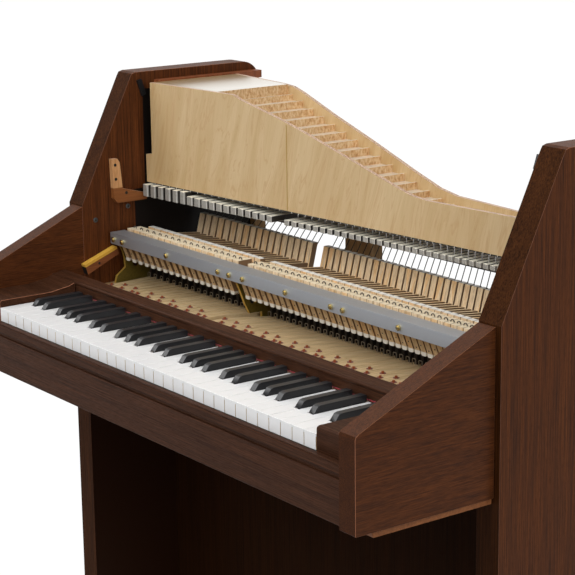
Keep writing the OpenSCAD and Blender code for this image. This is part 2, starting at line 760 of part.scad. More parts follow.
// Rail under the bars' still points, on side s of their middle line
module bar_rail(s) {
    xs = [in_l, 410, in_r];
    translate([0, 0, bar_z - 0.3 - bar_rail_h]) linear_extrude(bar_rail_h) polygon(concat(
        [for (x = xs) [x, bar_mid_y + s * still_at(x) - bar_rail_w / 2]],
        [for (k = [2 : -1 : 0]) [xs[k], bar_mid_y + s * still_at(xs[k]) + bar_rail_w / 2]]));
}

module bar_rails() {
    color([0.55, 0.42, 0.28]) placed() union() {
        for (s = [-1, 1]) bar_rail(s);
        // bearers on the side panels, under the resonator's ends
        box(in_l, -59, 332, 470, bar_z - 0.3 - eps, reso_z0);
        box(reso_x1 - 14, in_r, bar_mid_y - 14, bar_mid_y + 16, bar_z - 0.3 - eps, reso_z0);
    }
}

module bar_pins() {
    color([0.8, 0.8, 0.82]) placed()
        for (i = [1 : key_count - 1], s = [-1, 1]) {
            x = damper_x(i);
            translate([x, bar_mid_y + s * still_at(x), bar_z - 0.3])
                cylinder(d = bar_pin_d, h = reso_z0 - 1 - bar_z, $fn = 16);
        }
}

module tone_bars() {
    color([0.66, 0.66, 0.66]) placed()
        for (i = [0 : key_count - 1]) {
            x = note_x(i);
            w = i < 6 ? bass_bar_w : note_pitch(i) - bar_gap;
            f = bar_front(x);
            box(x - w / 2, x + w / 2, f, 2 * bar_mid_y - f, bar_z, bar_z + bar_thick(i));
        }
}

reso_x0 = -62;
reso_x1 = 812;
reso_notch_x = -47;
// Outlines of the resonator's front and back tops, from the bass end to the treble end
reso_top = [[reso_notch_x, reso_z1], [155, reso_z1], [173, reso_z1 - 6], [267, reso_z1 - 27],
    [312, reso_z1 - 39], [410, reso_z1 - 67], [500, reso_z2 + 11], [530, reso_z2 + 3], [560, reso_z2],
    [reso_x1, reso_z2]];
back_top = [[reso_notch_x, reso_z1], [100, reso_z1 - 0.5], [127, reso_z1 - 2], [154, reso_z1 - 8],
    [238, reso_z1 - 32], [338, reso_z1 - 58], [446, reso_z1 - 88], [505, reso_z2 + 1], [545, reso_z2 - 4],
    [reso_x1, reso_z2 - 4]];
front_skew = 0.0807;
back_skew = -0.08;
// Right edge of the flat lid, and of the first step after it
flat_lid_x = 113;
first_step_x = 127;
// How far the steps lie below the back wall's top
step_drop = 12;
lid_t = 4;
// Depth of the stepped lids below the partitions that part them
lid_sink = 2.5;

function front_in(x) = reso_front_y + front_skew * (x - reso_x0) + ply_t;
function back_in(x) = reso_back_y + back_skew * (x - reso_x0) - ply_t;

// A wall of the resonator, upright and skewed in plan
module reso_wall(y, skew, outline) {
    multmatrix([[1, 0, 0, 0], [skew, 1, 0, y - skew * reso_x0], [0, 0, 1, 0], [0, 0, 0, 1]])
        rotate([90, 0, 0]) translate([0, 0, -ply_t]) linear_extrude(ply_t) polygon(concat(
            [[reso_x1, reso_z0], [reso_x0, reso_z0], [reso_x0, 190], [reso_notch_x, 192]], outline));
}

module resonator_front() {
    color([0.82, 0.7, 0.5]) placed() reso_wall(reso_front_y, front_skew, reso_top);
}

module resonator_back() {
    color([0.78, 0.66, 0.47]) placed() reso_wall(reso_back_y - ply_t, back_skew, back_top);
}

// A plate between the front and back walls
module cell_plate(x0, x1, z0, z1) {
    translate([0, 0, z0]) linear_extrude(z1 - z0) polygon([[x0, front_in(x0)], [x1, front_in(x1)],
        [x1, back_in(x1)], [x0, back_in(x0)]]);
}

// Partitions between the chambers, and the lids that step down over them
module resonator_cells() {
    n = floor((reso_x1 - first_step_x) / chamber_w);
    step_z = function(k) lookup(first_step_x + k * chamber_w, back_top) - step_drop;
    color([0.86, 0.76, 0.58]) placed() union() {
        cell_plate(reso_x0, reso_x0 + ply_t, reso_z0, 188);
        cell_plate(reso_x0, reso_notch_x + ply_t, 184, 188);
        cell_plate(reso_notch_x, reso_notch_x + ply_t, 184, reso_z1);
        cell_plate(reso_notch_x, flat_lid_x, reso_z1 - lid_t, reso_z1);
        cell_plate(flat_lid_x - lid_t, flat_lid_x, reso_z0, reso_z1);
        for (k = [0 : n]) {
            x = first_step_x + k * chamber_w;
            lid_z = step_z(k) - lid_sink;
            cell_plate(k == 0 ? flat_lid_x - 1 : x - chamber_w, x, lid_z - lid_t, lid_z);
            cell_plate(x - lid_t, x, reso_z0, step_z(k));
        }
        for (x = [10, 62]) cell_plate(x - lid_t, x, reso_z0, reso_z1 - 1);
    }
}

// ---- small pieces on the side panels ----

module lid_ledges() {
    color([0.5, 0.28, 0.18]) placed() {
        box(in_l, in_l + 16, 325, 522, top_z - 26, top_z - 14);
        box(in_r - 16, in_r, 325, 522, top_z - 26, top_z - 14);
    }
}

// Angled wooden bracket with an upright arm and a level arm under the resonator's front corner
module corner_bracket(x0, s) {
    plate(min(x0, x0 + s * 9), max(x0, x0 + s * 9), [
        [238, 188], [248, 188], [252, 182], [256, 140], [300, 128], [300, 118], [246, 118], [240, 126]]);
}

module corner_brackets() {
    color([0.72, 0.42, 0.2]) placed() {
        corner_bracket(in_l, 1);
        corner_bracket(in_r, -1);
    }
}

// Catches of the removed upper panel, near the side panels' upper front corners
module catch_plates() {
    y = slant_top_y;
    z = top_z;
    color([0.08, 0.08, 0.09]) placed() {
        plate(in_l, in_l + 4, [[y + 9, z - 13], [y + 17, z - 11], [y + 25, z - 35], [y + 18, z - 38]]);
        plate(in_r - 4, in_r, [[y - 9, z - 29], [y - 3, z - 12], [y + 2, z - 14], [y - 4, z - 31]]);
    }
}

// Felt-topped rest for the removed upper panel
module felt_block() {
    color([0.85, 0.6, 0.15]) placed() plate(in_l, in_l + 12, [
        [181, 28], [239, 50], [244, 38], [186, 12]]);
}

// ---- pedal ----

// The pedal pulls a rod and a rail down, which press the dampers' levers off the bars
rod_y = damper_axle_y + 20;
rod_d = 6;
rod_hole_d = 10;
rod_x = note_x(mid_first + 1);
pull_z0 = damper_axle_z + 4.6;
pull_h = 9;
// Relief in the rail over the one damper it leaves alone
relief_w = 8;
relief_h = 2;
pedal_pin_y = rod_y + 12;
pedal_pin_z = floor_z + 36;
pedal_pin_d = 6;
pedal_w = 18;
pedal_t = 14;
foot_z = pedal_pin_z - pedal_t / 2;

module pull_rail() {
    relief_x = damper_x(mid_first);
    color([0.68, 0.54, 0.37]) placed() difference() {
        box(damper_x(0) - 4, damper_x(key_count - 1) + 4, rod_y - 5, rod_y + 5, pull_z0, pull_z0 + pull_h);
        // middle C's damper is left out of the pedal's pull
        box(relief_x - relief_w / 2, relief_x + relief_w / 2, rod_y - 6, rod_y + 6, pull_z0 - 1,
            pull_z0 + relief_h);
    }
}

module pull_rod() {
    color([0.72, 0.72, 0.75]) placed() translate([rod_x, rod_y, pedal_pin_z + pedal_t / 2 + 0.4])
        cylinder(d = rod_d, h = pull_z0 - pedal_pin_z - pedal_t / 2 - 0.4);
}

module pedal_bracket() {
    z1 = floor_z + bottom_gap;
    color([0.3, 0.3, 0.32]) placed() union() {
        for (s = [-1, 1])
            translate([rod_x + s * (pedal_w / 2 + 2.4) - 1.5, pedal_pin_y - 12, pedal_pin_z - 8])
                cube([3, 24, z1 - pedal_pin_z + 8]);
        box(rod_x - pedal_w / 2 - 3.8, rod_x + pedal_w / 2 + 3.8, pedal_pin_y + 4, pedal_pin_y + 12,
            z1 - 4, z1);
        translate([rod_x - pedal_w / 2 - 3.8, pedal_pin_y, pedal_pin_z]) rotate([0, 90, 0])
            cylinder(d = pedal_pin_d, h = pedal_w + 7.6);
    }
}

module pedal() {
    color([0.72, 0.56, 0.25]) placed() difference() {
        union() {
            box(rod_x - pedal_w / 2, rod_x + pedal_w / 2, 250, pedal_pin_y + 9, foot_z, foot_z + pedal_t);
            hull() {
                translate([rod_x, 205, foot_z]) cylinder(d = 44, h = pedal_t - 2, $fn = 32);
                translate([rod_x, 262, foot_z]) cylinder(d = pedal_w, h = pedal_t - 2, $fn = 32);
            }
        }
        translate([rod_x - 12, pedal_pin_y, pedal_pin_z]) rotate([0, 90, 0])
            cylinder(d = pedal_pin_d + 0.8, h = 24);
    }
}

side_panel_left();
side_panel_right();
cheek_left();
cheek_right();
front_board();
key_slip();
key_bed();
under_board();
key_blocks();
cover_rail();
rail_felt();
knee_panel();
bottom_board();
back_frame();
key_frame();
balance_pins();
key_cloths();
action_brackets();
action_rail();
rail_screws();
flange_beams();
hammer_flanges();
flange_springs();
damper_rail();
bar_rails();
bar_pins();
tone_bars();
resonator_front();
resonator_back();
resonator_cells();
lid_ledges();
corner_brackets();
catch_plates();
felt_block();
key_c();
key_c_sharp();
key_d();
key_d_sharp();
key_e();
key_f();
key_f_sharp();
key_g();
key_g_sharp();
key_a();
key_a_sharp();
key_b();
bass_white_keys();
bass_black_keys();
treble_white_keys();
treble_black_keys();
middle_c_lever();
middle_c_hammer();
middle_c_damper();
levers();
hammers();
dampers();
pull_rail();
pull_rod();
pedal();
pedal_bracket();
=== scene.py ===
"""Looks of the keyboard celesta: veneer, keys, action, tone bars and plywood resonator.

Lengths are metres in the part's frame. Only at() takes millimetres in the keyboard's own frame: x from
the left end of the white keys, y from their front edges, z from their tops.
"""
import math

import bmesh
import bpy
from mathutils import Matrix, Vector


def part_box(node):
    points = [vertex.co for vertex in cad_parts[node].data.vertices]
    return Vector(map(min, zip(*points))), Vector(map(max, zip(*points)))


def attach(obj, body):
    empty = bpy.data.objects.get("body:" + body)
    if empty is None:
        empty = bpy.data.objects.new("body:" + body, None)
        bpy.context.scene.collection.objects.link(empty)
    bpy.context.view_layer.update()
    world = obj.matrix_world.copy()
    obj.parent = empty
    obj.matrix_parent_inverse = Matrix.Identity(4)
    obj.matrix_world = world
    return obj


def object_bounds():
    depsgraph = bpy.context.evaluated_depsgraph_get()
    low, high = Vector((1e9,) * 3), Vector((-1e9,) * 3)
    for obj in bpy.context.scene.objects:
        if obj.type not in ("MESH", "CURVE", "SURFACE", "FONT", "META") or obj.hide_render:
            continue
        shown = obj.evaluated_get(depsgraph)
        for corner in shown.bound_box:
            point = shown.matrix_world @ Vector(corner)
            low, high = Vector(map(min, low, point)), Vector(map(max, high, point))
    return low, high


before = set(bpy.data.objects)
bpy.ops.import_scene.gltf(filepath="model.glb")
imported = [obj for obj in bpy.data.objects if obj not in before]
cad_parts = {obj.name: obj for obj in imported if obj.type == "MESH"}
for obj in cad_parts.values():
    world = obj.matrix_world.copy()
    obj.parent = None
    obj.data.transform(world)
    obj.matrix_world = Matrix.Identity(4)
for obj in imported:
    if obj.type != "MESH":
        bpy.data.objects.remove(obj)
cad_lo, cad_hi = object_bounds()
MM = 0.001

# ---------------------------------------------------------------- places

WHITE_COUNT = 33
WHITE_PITCH = 23.5 * MM
WHITE_X0 = -WHITE_COUNT * WHITE_PITCH / 2
KEY_FRONT_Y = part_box("bass_white_keys")[0].y
KEY_TOP_Z = 0.725


def at(x, y, z):
    """A point given in millimetres of the keyboard's frame."""
    return Vector((WHITE_X0 + x * MM, KEY_FRONT_Y + y * MM, KEY_TOP_Z + z * MM))


TAIL_TOP_Z = KEY_TOP_Z - 6.5 * MM
CAP_T = 3.5 * MM  # the keys' coloured caps
KEYS_SEEN_Y = at(0, 160, 0).y  # behind the cover rail the keys are bare wood
CAPSTANS_Y = at(0, 260, 0).y
FLAT_LID_END = at(112, 0, 0).x
IN_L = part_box("front_board")[0].x  # inner faces of the side panels
IN_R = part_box("front_board")[1].x
# Front ends of the bars: depth = BAR_FRONT_Y + BAR_SLOPE * x
BAR_SLOPE = 0.1
BAR_FRONT_Y = at(0, 294.7, 0).y - BAR_SLOPE * WHITE_X0


def solids(node):
    """(lowest, highest) corners of each separate solid of a CAD node, from bass to treble."""
    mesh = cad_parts[node].data
    place = {}
    parent = list(range(len(mesh.vertices)))

    def root(a):
        while parent[a] != a:
            parent[a] = parent[parent[a]]
            a = parent[a]
        return a

    for v in mesh.vertices:
        spot = tuple(round(c * 1e5) for c in v.co)
        if spot in place:
            parent[root(v.index)] = root(place[spot])
        else:
            place[spot] = v.index
    for edge in mesh.edges:
        a, b = edge.vertices
        parent[root(a)] = root(b)
    boxes = {}
    for v in mesh.vertices:
        lo, hi = boxes.setdefault(root(v.index), (v.co.copy(), v.co.copy()))
        for k in range(3):
            lo[k] = min(lo[k], v.co[k])
            hi[k] = max(hi[k], v.co[k])
    return sorted(boxes.values(), key=lambda b: b[0].x + b[1].x)


SINGLE_KEYS = ["key_c", "key_c_sharp", "key_d", "key_d_sharp", "key_e", "key_f", "key_f_sharp",
               "key_g", "key_g_sharp", "key_a", "key_a_sharp", "key_b"]
KEY_COUNT = 56
MIDDLE_C = 24


def key_body(i):
    """The body that key number i rides on."""
    if i < MIDDLE_C:
        return "bass_keys"
    if i < MIDDLE_C + len(SINGLE_KEYS):
        return SINGLE_KEYS[i - MIDDLE_C]
    return "treble_keys"


# ---------------------------------------------------------------- materials

def srgb(r, g, b):
    """Linear colour of an sRGB colour given as 0 to 255."""
    def lin(c):
        c /= 255
        return c / 12.92 if c <= 0.04045 else ((c + 0.055) / 1.055) ** 2.4
    return (lin(r), lin(g), lin(b), 1.0)


class Nodes:
    """The node tree of a material or a world."""

    def __init__(self, owner):
        owner.use_nodes = True
        self.tree = owner.node_tree
        self.tree.nodes.clear()

    def put(self, kind, settings=None, **inputs):
        """Adds a node and wires or sets its inputs: named, with _ for a space, or numbered _0, _1."""
        node = self.tree.nodes.new(kind)
        for name, value in (settings or {}).items():
            setattr(node, name, value)
        for name, value in inputs.items():
            key = int(name[1:]) if name[1:].isdigit() else name.replace("_", " ")
            self.feed(node.inputs[key], value)
        return node

    def feed(self, socket, value):
        if isinstance(value, bpy.types.NodeSocket):
            self.tree.links.new(value, socket)
        else:
            socket.default_value = value

    def math(self, operation, a, b=0.0, c=0.0):
        return self.put("ShaderNodeMath", {"operation": operation}, _0=a, _1=b, _2=c).outputs[0]

    def times(self, a, b):
        return self.math("MULTIPLY", a, b)

    def seen_directly(self):
        """1 for rays that show the backdrop to the camera or through glass."""
        path = self.put("ShaderNodeLightPath").outputs
        return self.math("MAXIMUM", path["Is Camera Ray"], path["Is Transmission Ray"])

    def seen_in_gloss(self):
        """1 for rays that show the backdrop as a reflection."""
        return self.put("ShaderNodeLightPath").outputs["Is Glossy Ray"]


class Shader(Nodes):
    """A material around one principled shader, whose patterns stay put on the part."""

    def __init__(self, name, **sockets):
        self.material = bpy.data.materials.new(name)
        super().__init__(self.material)
        self.bsdf = self.put("ShaderNodeBsdfPrincipled", **sockets)
        self.out = self.put("ShaderNodeOutputMaterial", Surface=self.bsdf.outputs[0])
        self.place = self.put("ShaderNodeTexCoord").outputs["Object"]

    def set(self, **inputs):
        for name, value in inputs.items():
            self.feed(self.bsdf.inputs[name.replace("_", " ")], value)

    def colour(self):
        """The colour that the shader has so far."""
        return self.bsdf.inputs["Base Color"].links[0].from_socket

    def mix(self, factor, a, b, blend="MIX"):
        node = self.put("ShaderNodeMix", {"data_type": "RGBA", "blend_type": blend})
        for socket, value in zip((node.inputs[0], node.inputs[6], node.inputs[7]), (factor, a, b)):
            self.feed(socket, value)
        return node.outputs[2]

    def noise(self, size, detail=4.0, rough=0.55, twist=0.0, shift=0.0, lean=0.0):
        """Noise whose features are size = (x, y, z) metres across, leaning in the x-z plane."""
        turned = self.put("ShaderNodeMapping", Vector=self.place, Rotation=(0, math.radians(lean), 0))
        scaled = self.put("ShaderNodeMapping", Vector=turned.outputs[0], Location=(shift, shift, shift),
                          Scale=tuple(1 / s for s in size))
        return self.put("ShaderNodeTexNoise", Vector=scaled.outputs[0], Scale=1.0, Detail=detail,
                        Roughness=rough, Distortion=twist).outputs["Fac"]

    def ramp(self, factor, *stops):
        node = self.put("ShaderNodeValToRGB", Fac=factor)
        while len(node.color_ramp.elements) < len(stops):
            node.color_ramp.elements.new(0.5)
        for element, (spot, colour) in zip(node.color_ramp.elements, stops):
            element.position = spot
            element.color = colour if len(colour) == 4 else (*colour, 1)
        return node.outputs[0]

    def tint(self, where, colour, by):
        """A colour multiplied by another one where the mask is 1."""
        return self.mix(where, colour, self.mix(1.0, colour, by, "MULTIPLY"))

    def grey_of(self, value, blue=1.0):
        """A grey from a node's value, with its blue scaled."""
        return self.put("ShaderNodeCombineColor", Red=value, Green=value,
                        Blue=self.times(value, blue)).outputs[0]

    def part(self, axis):
        """Coordinate 0, 1 or 2 of the shaded point in the part's frame."""
        return self.put("ShaderNodeSeparateXYZ", Vector=self.place).outputs[axis]

    def facing(self, axis):
        """How far the surface's normal points along an axis."""
        normal = self.put("ShaderNodeNewGeometry").outputs["Normal"]
        return self.put("ShaderNodeSeparateXYZ", Vector=normal).outputs[axis]

    def above(self, value, limit, soft=1e-4):
        """0 below the limit, 1 above it."""
        return self.put("ShaderNodeMapRange", Value=value, From_Min=limit - soft,
                        From_Max=limit + soft).outputs[0]

    def below(self, value, limit, soft=1e-4):
        return self.math("SUBTRACT", 1.0, self.above(value, limit, soft))

    def within(self, axis, low, high):
        """1 where a coordinate of the shaded point lies between two limits."""
        spot = self.part(axis)
        return self.times(self.above(spot, low), self.below(spot, high))

    def upward(self, soft=0.1):
        """1 on faces that look up."""
        return self.above(self.facing(2), 0.5, soft)

    def forward(self, limit, soft=0.1):
        """1 on faces that look to the front."""
        return self.above(self.times(self.facing(1), -1.0), limit, soft)

    def sideways(self):
        """1 on faces that look left or right."""
        return self.above(self.math("ABSOLUTE", self.facing(0)), 0.9, 0.05)

    def edge(self):
        """1 on rounded edges that turn left or right, 0 on flat faces."""
        lean = self.math("ABSOLUTE", self.facing(0))
        return self.times(self.above(lean, 0.35, 0.1), self.below(lean, 0.93, 0.03))

    def island(self):
        """A number between 0 and 1 for each separate solid."""
        return self.put("ShaderNodeNewGeometry").outputs["Random Per Island"]

    def bump(self, height, strength, distance):
        node = self.put("ShaderNodeBump", Height=height, Strength=strength, Distance=distance)
        self.feed(self.bsdf.inputs["Normal"], node.outputs[0])


def grey(v):
    """A fixed linear grey."""
    return (v, v, v, 1.0)


def stretched(along, fine, long):
    """Feature size of a grain that runs along axis 0, 1 or 2."""
    return tuple(long if k == along else fine for k in range(3))


SATIN = 0.14  # how strongly the lacquer shines


def veneer(name, along, light, dark, rough=0.44, spec=SATIN, length=0.11):
    """Dark reddish veneer with fine straight grain under satin lacquer, and a painted highlight on its
    rounded side edges.
    """
    s = Shader(name, Specular_IOR_Level=spec)
    fine = s.noise(stretched(along, 0.0016, length), 3.0, 0.6)
    broad = s.noise(stretched(along, 0.013, 5.5 * length), 3.0, 0.5, 0.4, shift=3.7)
    pores = s.noise(stretched(along, 0.0007, 0.012), 2.0, 0.7, shift=9.1)
    streak = s.math("MULTIPLY_ADD", broad, 0.25, s.times(fine, 0.8))
    colour = s.ramp(streak, (0.36, dark), (0.68, light))
    colour = s.mix(s.ramp(pores, (0.3, grey(0.55)), (0.5, grey(0.0))), colour, srgb(40, 20, 14))
    # painted highlight: a pale pinkish line on rounded edges that turn left or right
    colour = s.mix(s.times(s.edge(), 0.7), colour, srgb(205, 140, 108))
    s.set(Base_Color=colour, Roughness=s.ramp(pores, (0.3, grey(rough + 0.2)), (0.6, grey(rough))))
    s.bump(s.math("ADD", fine, s.times(pores, 0.6)), 0.12, 0.0004)
    return s


def cheek_veneer():
    """Veneer with short grain, with painted shade on the front ends and tops."""
    s = veneer("walnut_deep", 1, srgb(104, 57, 26), srgb(64, 32, 13), length=0.03)
    # painted shade: the front ends and the tops are tinted darker
    front = s.forward(0.8)
    colour = s.tint(front, s.colour(), srgb(198, 200, 202))
    s.set(Base_Color=s.tint(s.upward(), colour, srgb(228, 226, 205)),
          Specular_IOR_Level=s.math("MULTIPLY_ADD", front, -0.09, SATIN))
    return s.material


def side_panel_veneer():
    """Veneer with painted shade: darker front edges, black inner faces behind the action, and dark inner
    faces below the key bed.
    """
    s = veneer("walnut_upright", 2, srgb(112, 61, 27), srgb(54, 26, 8))
    # painted shade: front-facing edges tinted darker
    front = s.forward(0.3)
    colour = s.tint(front, s.colour(), srgb(186, 196, 208))
    inside = s.below(s.math("ABSOLUTE", s.part(0)), IN_R + 0.2 * MM)
    # painted shade: black on the inner faces behind the action, starting farther back above the bars
    border = s.math("MULTIPLY_ADD", s.above(s.part(2), at(0, 0, 135).z), 20 * MM, at(0, 283, 0).y)
    painted_shade = s.times(s.times(inside, s.sideways()), s.above(s.math("SUBTRACT", s.part(1), border), 0.0))
    painted_shade = s.times(painted_shade, s.within(2, at(0, 0, -90).z, at(0, 0, 292).z))
    colour = s.mix(painted_shade, colour, srgb(22, 17, 14))
    # painted shade: dark on the inner faces below the key bed
    colour = s.mix(s.times(inside, s.below(s.part(2), at(0, 0, -92.5).z)), colour, srgb(46, 23, 9))
    s.set(Base_Color=colour, Specular_IOR_Level=s.math("MULTIPLY_ADD", front, -0.12, SATIN))
    return s.material


def bare_wood(name, along, light, dark, rough=0.62, fine=0.0011, vary=0.12, spec=0.35):
    """Planed wood: soft growth lines along one axis, each solid a little different."""
    s = Shader(name, Roughness=rough, Specular_IOR_Level=spec)
    lines = s.noise(stretched(along, fine, 0.05), 3.0, 0.6)
    broad = s.noise(stretched(along, 0.006, 0.2), 2.0, 0.5, 0.3, shift=5.3)
    colour = s.ramp(s.math("MULTIPLY_ADD", broad, 0.5, s.times(lines, 0.5)), (0.3, dark), (0.68, light))
    shade = s.math("MULTIPLY_ADD", s.island(), 2 * vary, 1 - vary)
    s.set(Base_Color=s.mix(1.0, colour, s.grey_of(shade, 0.98), "MULTIPLY"))
    s.bump(lines, 0.15, 0.0003)
    return s


def birch_ply(name, lid=False):
    """Varnished birch plywood: flame figure on the faces; on top, either the layers or glossy lids."""
    s = Shader(name, Roughness=0.42)
    up = s.upward()
    flame = s.noise((0.034, 0.034, 0.22), 4.0, 0.5, 1.1, lean=-17)
    rings = s.math("FRACT", s.times(flame, 9.0))
    lines = s.ramp(rings, (0.0, grey(0.55)), (0.16, grey(0.0)), (0.9, grey(0.0)), (1.0, grey(0.55)))
    fine = s.noise((0.0022, 0.0022, 0.05), 3.0, 0.6, shift=2.2, lean=-12)
    field = s.math("MULTIPLY_ADD", fine, 0.3, s.times(flame, 0.7))
    face = s.ramp(field, (0.32, srgb(196, 163, 113)), (0.66, srgb(213, 185, 140)))
    face = s.mix(lines, face, srgb(190, 146, 98))
    flecks = s.noise((0.0009, 0.0009, 0.008), 2.0, 0.6, shift=7.7, lean=-12)
    face = s.mix(s.ramp(flecks, (0.62, grey(0.0)), (0.76, grey(0.2))), face, srgb(160, 116, 72))
    if lid:
        streak = s.noise((0.02, 0.0034, 0.006), 4.0, 0.65, shift=1.9)
        riser = s.ramp(streak, (0.34, srgb(190, 138, 86)), (0.5, srgb(222, 184, 136)),
                       (0.7, srgb(238, 214, 176)))
        face = s.mix(s.above(s.facing(0), 0.5, 0.1), face, riser)
        # painted shadow: the flat lid at the bass end is tan where the side panel's shadow falls, and paler
        # towards the stepped ones
        pale = s.above(s.part(0), FLAT_LID_END - 0.07, 0.05)
        colour = s.mix(up, face, s.mix(pale, srgb(176, 142, 88), srgb(236, 226, 208)))
        s.set(Coat_Weight=up, Coat_Roughness=0.16, Coat_IOR=1.5)
    else:
        layers = s.noise((0.03, 0.0009, 0.0009), 2.0, 0.5, shift=4.0)
        colour = s.mix(up, face, s.ramp(layers, (0.42, srgb(158, 112, 80)), (0.56, srgb(222, 188, 156))))
        s.set(Coat_Weight=0.12, Coat_Roughness=0.3)
    s.set(Base_Color=colour)
    s.bump(fine, 0.1, 0.0003)
    return s.material


def felt(name, colour, dark):
    """Short fuzzy felt or cloth."""
    s = Shader(name, Roughness=0.95, Specular_IOR_Level=0.1, Sheen_Weight=0.35, Sheen_Roughness=0.5)
    fuzz = s.noise((0.0006, 0.0006, 0.0006), 4.0, 0.7)
    s.set(Base_Color=s.ramp(fuzz, (0.35, dark), (0.65, colour)))
    s.bump(fuzz, 0.5, 0.0006)
    return s.material


def metal(name, colour, rough, along=0, line=0.0003, streak=0.12, metallic=1.0):
    """Drawn, brushed or ground metal with fine lines along one axis."""
    s = Shader(name, Metallic=metallic)
    lines = s.noise(stretched(along, line, 0.06), 3.0, 0.7)
    tone = s.grey_of(s.math("MULTIPLY_ADD", lines, streak, 1 - streak / 2))
    s.set(Base_Color=s.mix(1.0, colour, tone, "MULTIPLY"),
          Roughness=s.math("MULTIPLY_ADD", lines, 0.2, rough - 0.1))
    s.bump(lines, 0.08, 0.0002)
    return s.material


def bare_key(name):
    """Pale wooden key levers with dark leather pads on their tails."""
    s = bare_wood(name, 1, srgb(214, 190, 150), srgb(186, 156, 112))
    pad = s.times(s.above(s.part(1), CAPSTANS_Y), s.above(s.part(2), TAIL_TOP_Z + 0.3 * MM))
    return s, s.mix(pad, s.colour(), srgb(30, 24, 20))


def white_keys():
    """Glossy white tops and fronts on wooden levers."""
    s, wood = bare_key("white_key")
    fade = 0.05 * MM
    top = s.above(s.part(2), KEY_TOP_Z - CAP_T + fade, fade)
    cover = s.times(s.math("MAXIMUM", top, s.forward(0.7, 0.05)), s.below(s.part(1), KEYS_SEEN_Y))
    ivory = s.grey_of(s.math("MULTIPLY_ADD", s.island(), 0.02, 0.94))
    s.set(Base_Color=s.mix(cover, wood, ivory), Roughness=s.math("MULTIPLY_ADD", cover, -0.4, 0.58))
    return s.material


def black_keys():
    """Satin black caps on wooden levers."""
    s, wood = bare_key("black_key")
    cap = s.times(s.above(s.part(2), KEY_TOP_Z - CAP_T), s.below(s.part(1), KEYS_SEEN_Y))
    streak = s.noise((0.001, 0.02, 0.001), 3.0, 0.6, shift=1.3)
    black = s.ramp(streak, (0.3, srgb(22, 22, 24)), (0.7, srgb(38, 38, 40)))
    s.set(Base_Color=s.mix(cap, wood, black), Roughness=s.math("MULTIPLY_ADD", cap, -0.25, 0.6))
    return s.material


def bar_steel():
    """Sawn grey steel, with a painted reflection of the plywood on the tops, painted highlights on the
    corners and side strips, and painted shade deeper in the gaps.
    """
    s = Shader("bar_steel", Roughness=0.5)
    lines = s.noise((0.0007, 0.0007, 0.004), 3.0, 0.7)
    face = s.ramp(lines, (0.3, srgb(132, 128, 120)), (0.7, srgb(190, 186, 178)))
    # painted reflection: pale beige tops stand in for the birch plywood mirrored in them
    top = s.ramp(lines, (0.3, srgb(232, 224, 200)), (0.7, srgb(250, 246, 230)))
    # painted highlight and shade on the right sides: bright near the bars' fronts, dark deeper in the gaps
    depth = s.math("SUBTRACT", s.part(1), s.math("MULTIPLY_ADD", s.part(0), BAR_SLOPE, BAR_FRONT_Y))
    painted_gap_side = s.mix(s.above(depth, 2.2 * MM, 0.6 * MM), srgb(196, 194, 188), srgb(52, 48, 44))
    colour = s.mix(s.above(s.facing(0), 0.93, 0.03), face, painted_gap_side)
    # painted highlight: bright rounded corners
    colour = s.mix(s.edge(), colour, srgb(240, 238, 232))
    up = s.upward()
    s.set(Base_Color=s.mix(up, colour, top), Metallic=s.math("MULTIPLY_ADD", up, -0.3, 0.3))
    s.bump(lines, 0.1, 0.0002)
    return s.material


def action_wood(name, light, dark, odd, crown):
    """Action wood whose solids differ a little, some more orange, with painted shade on their sides and
    pale upper edges.
    """
    s = bare_wood(name, 2, light, dark, vary=0.06)
    pick = s.math("FRACT", s.times(s.island(), 7.31))
    wood = s.mix(s.ramp(pick, (0.6, grey(0.0)), (0.9, grey(0.75))), s.colour(), odd, "MULTIPLY")
    stripe = s.noise((0.0012, 0.004, 0.05), 2.0, 0.6, shift=8.8)
    wood = s.mix(s.ramp(stripe, (0.4, grey(0.35)), (0.5, grey(0.0))), wood, srgb(150, 112, 76))
    # painted shade: sides facing left or right, between neighbouring pieces, are darker
    wood = s.mix(s.sideways(), wood, srgb(142, 112, 82))
    top = s.times(s.upward(0.15), s.above(s.part(2), at(0, 0, 70).z))
    s.set(Base_Color=s.mix(top, wood, crown))
    return s.material


def damper_looks():
    """Pale levers below, dark wires above."""
    s = bare_wood("damper", 1, srgb(208, 184, 148), srgb(170, 142, 106))
    wire = s.above(s.part(2), at(0, 0, 42).z)
    s.set(Base_Color=s.mix(wire, s.colour(), srgb(58, 54, 50)), Metallic=s.times(wire, 0.3))
    return s.material


def bracket_wood():
    """Pale upright arm and darker level arm of the corner brackets."""
    s = bare_wood("bracket_beech", 1, srgb(158, 98, 52), srgb(116, 66, 32), rough=0.45, vary=0.02)
    grain = s.noise((0.0014, 0.0014, 0.02), 3.0, 0.6, shift=6.1)
    pale = s.ramp(grain, (0.35, srgb(190, 134, 84)), (0.65, srgb(220, 170, 120)))
    wood = s.mix(s.above(s.part(2), at(0, 0, 142).z, 0.3 * MM), s.colour(), pale)
    s.set(Base_Color=s.mix(s.upward(), wood, srgb(206, 160, 124)))
    return s.material


def felted_block():
    """Reddish wood with a thick yellow felt on its sloping top and a dark end."""
    s = bare_wood("felted_block", 1, srgb(150, 88, 46), srgb(104, 56, 28), vary=0.02)
    fuzz = s.noise((0.0008, 0.0008, 0.0008), 4.0, 0.7)
    yellow = s.ramp(fuzz, (0.35, srgb(206, 152, 48)), (0.65, srgb(236, 188, 78)))
    slope = 22 / 58
    felt_t = 4.5 * MM
    top_edge = at(0, 181, 28)
    height = s.math("MULTIPLY_ADD", s.part(1), -slope, s.part(2))
    felt_part = s.above(height, top_edge.z - top_edge.y * slope - felt_t)
    wood = s.mix(s.forward(0.7), s.colour(), srgb(26, 20, 16))
    s.set(Base_Color=s.mix(felt_part, wood, yellow), Roughness=0.8)
    return s.material


